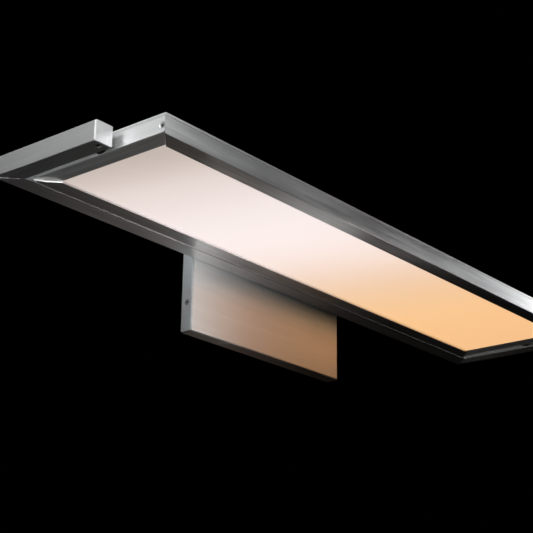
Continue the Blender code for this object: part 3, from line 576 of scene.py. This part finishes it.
def feather(data):
    """Makes an area light brightest at its middle, fading to nothing at its edges."""
    data.use_nodes = True
    g = Graph(data.node_tree)
    emission = next(n for n in data.node_tree.nodes if n.type == "EMISSION")
    from_middle = g.node("VectorMath", operation="SUBTRACT")
    g.join(g.node("NewGeometry").outputs["Parametric"], from_middle.inputs[0])
    from_middle.inputs[1].default_value = (0.5, 0.5, 0.0)
    distance = g.node("VectorMath", operation="LENGTH")
    g.join(from_middle.outputs["Vector"], distance.inputs[0])
    fall = g.node("MapRange", interpolation_type="SMOOTHSTEP")
    g.join(distance.outputs["Value"], fall.inputs["Value"])
    fall.inputs["From Min"].default_value = FEATHER_DARK
    fall.inputs["From Max"].default_value = FEATHER_FULL
    g.join(fall.outputs["Result"], emission.inputs["Strength"])


LEFT_CORNER = (-0.373, -0.2, 0.04)
LEFT_END = (-0.38, -0.1, 0.04)
MIDDLE = (-0.1, -0.1, 0.0)
RIGHT_FRONT = (0.25, -0.206, 0.04)
MITRE = (-0.37, -0.044, 0.031)
UNDER_BOX = (-0.125, -0.03, 0.03)
FRONT_BEZEL = (-0.155, -0.197, 0.03)
WHITE = (1.0, 1.0, 1.0)
AMBER = (1.0, 0.80, 0.60)
PINK = (1.0, 0.90, 0.88)

# Degrees of yaw and rise, metres away, size in metres, watts, target, colour, degrees of spread.
# Yaw 0 is along +Y and 90 along +X. The narrow ones pick out one spot each: the left mitre, the
# wall box's underside, the crossbar beside it and the flange under the head's front.
SOFT_BOXES = {
    "key": (250.0, 24.0, 1.8, (0.9, 0.9), 38.0, MIDDLE, WHITE, 180.0),
    "key_side": (232.0, 20.0, 1.8, (0.9, 0.9), 15.0, MIDDLE, WHITE, 180.0),
    "front": (148.0, 14.0, 1.7, (0.4, 0.5), 11.5, LEFT_CORNER, WHITE, 180.0),
    "right": (103.5, 24.0, 1.7, (0.45, 0.7), 23.0, RIGHT_FRONT, WHITE, 180.0),
    "left": (314.0, 26.0, 1.7, (0.7, 0.9), 5.9, LEFT_END, WHITE, 180.0),
    "rear": (12.0, 20.0, 2.0, (1.3, 1.3), 16.0, MIDDLE, WHITE, 180.0),
    "low_left": (290.0, -30.0, 1.7, (1.0, 1.0), 10.0, MIDDLE, WHITE, 180.0),
    "catch": (225.0, -22.0, 1.1, (0.3, 0.3), 1.15, MITRE, WHITE, 50.0),
    "low_rear": (50.0, -30.0, 1.7, (1.0, 1.0), 0.34, MIDDLE, AMBER, 180.0),
    "low_front": (142.0, -20.0, 0.45, (0.235, 0.235), 0.072, UNDER_BOX, PINK, 60.0),
    "low_near": (142.0, -20.0, 0.30, (0.16, 0.16), 0.052, UNDER_BOX, PINK, 70.0),
    "under_head": (52.0, -22.0, 0.20, (0.24, 0.04), 0.0130, FRONT_BEZEL, WHITE, 100.0),
}
SUN_POWER = 1.8
SUN_DEG = 100.0


def direction(yaw, rise):
    """The unit vector at a yaw from +Y towards +X and a rise above level, in radians."""
    return Vector((math.sin(yaw) * math.cos(rise), math.cos(yaw) * math.cos(rise), math.sin(rise)))


def soft_box(name, yaw_deg, rise_deg, distance, size, power, target, colour, spread_deg):
    """A feathered softbox that faces a target and can't be seen itself."""
    away = direction(math.radians(yaw_deg), math.radians(rise_deg))
    data = bpy.data.lights.new(name, "AREA")
    data.shape = "RECTANGLE"
    data.size, data.size_y = size
    data.energy = power
    data.color = colour
    data.spread = math.radians(spread_deg)
    feather(data)
    light = bpy.data.objects.new(name, data)
    bpy.context.scene.collection.objects.link(light)
    aim(light, Vector(target) + away * distance, target)
    light.visible_camera = False


def make_lights():
    """A black studio with a broad light overhead and the softboxes."""
    sky = bpy.data.worlds.new("studio")
    sky.use_nodes = True
    sky.node_tree.nodes["Background"].inputs["Color"].default_value = grey(0.0)
    bpy.context.scene.world = sky
    top = bpy.data.lights.new("overhead", "SUN")
    top.energy = SUN_POWER
    top.angle = math.radians(SUN_DEG)
    overhead = bpy.data.objects.new("overhead", top)
    bpy.context.scene.collection.objects.link(overhead)
    for name, settings in SOFT_BOXES.items():
        soft_box(name, *settings)


def make_camera():
    """The view's camera, turned by its yaw, its pitch and then its roll."""
    forward = direction(CAMERA_YAW, CAMERA_PITCH)
    level = Vector((math.cos(CAMERA_YAW), -math.sin(CAMERA_YAW), 0.0))
    upward = level.cross(forward)
    right = level * math.cos(CAMERA_ROLL) + upward * math.sin(CAMERA_ROLL)
    top = upward * math.cos(CAMERA_ROLL) - level * math.sin(CAMERA_ROLL)
    data = bpy.data.cameras.new("camera")
    data.sensor_width = SENSOR_MM
    data.lens = FOCAL_PX * SENSOR_MM / IMAGE_PX
    data.clip_start, data.clip_end = 0.05, 300.0
    camera = bpy.data.objects.new("camera", data)
    bpy.context.scene.collection.objects.link(camera)
    turn = Matrix((right, top, -forward)).transposed()
    camera.matrix_world = Matrix.Translation(CAMERA_AT) @ turn.to_4x4()
    bpy.context.scene.camera = camera


make_camera()
make_lights()
make_floor()
bpy.context.scene.view_settings.view_transform = "Standard"
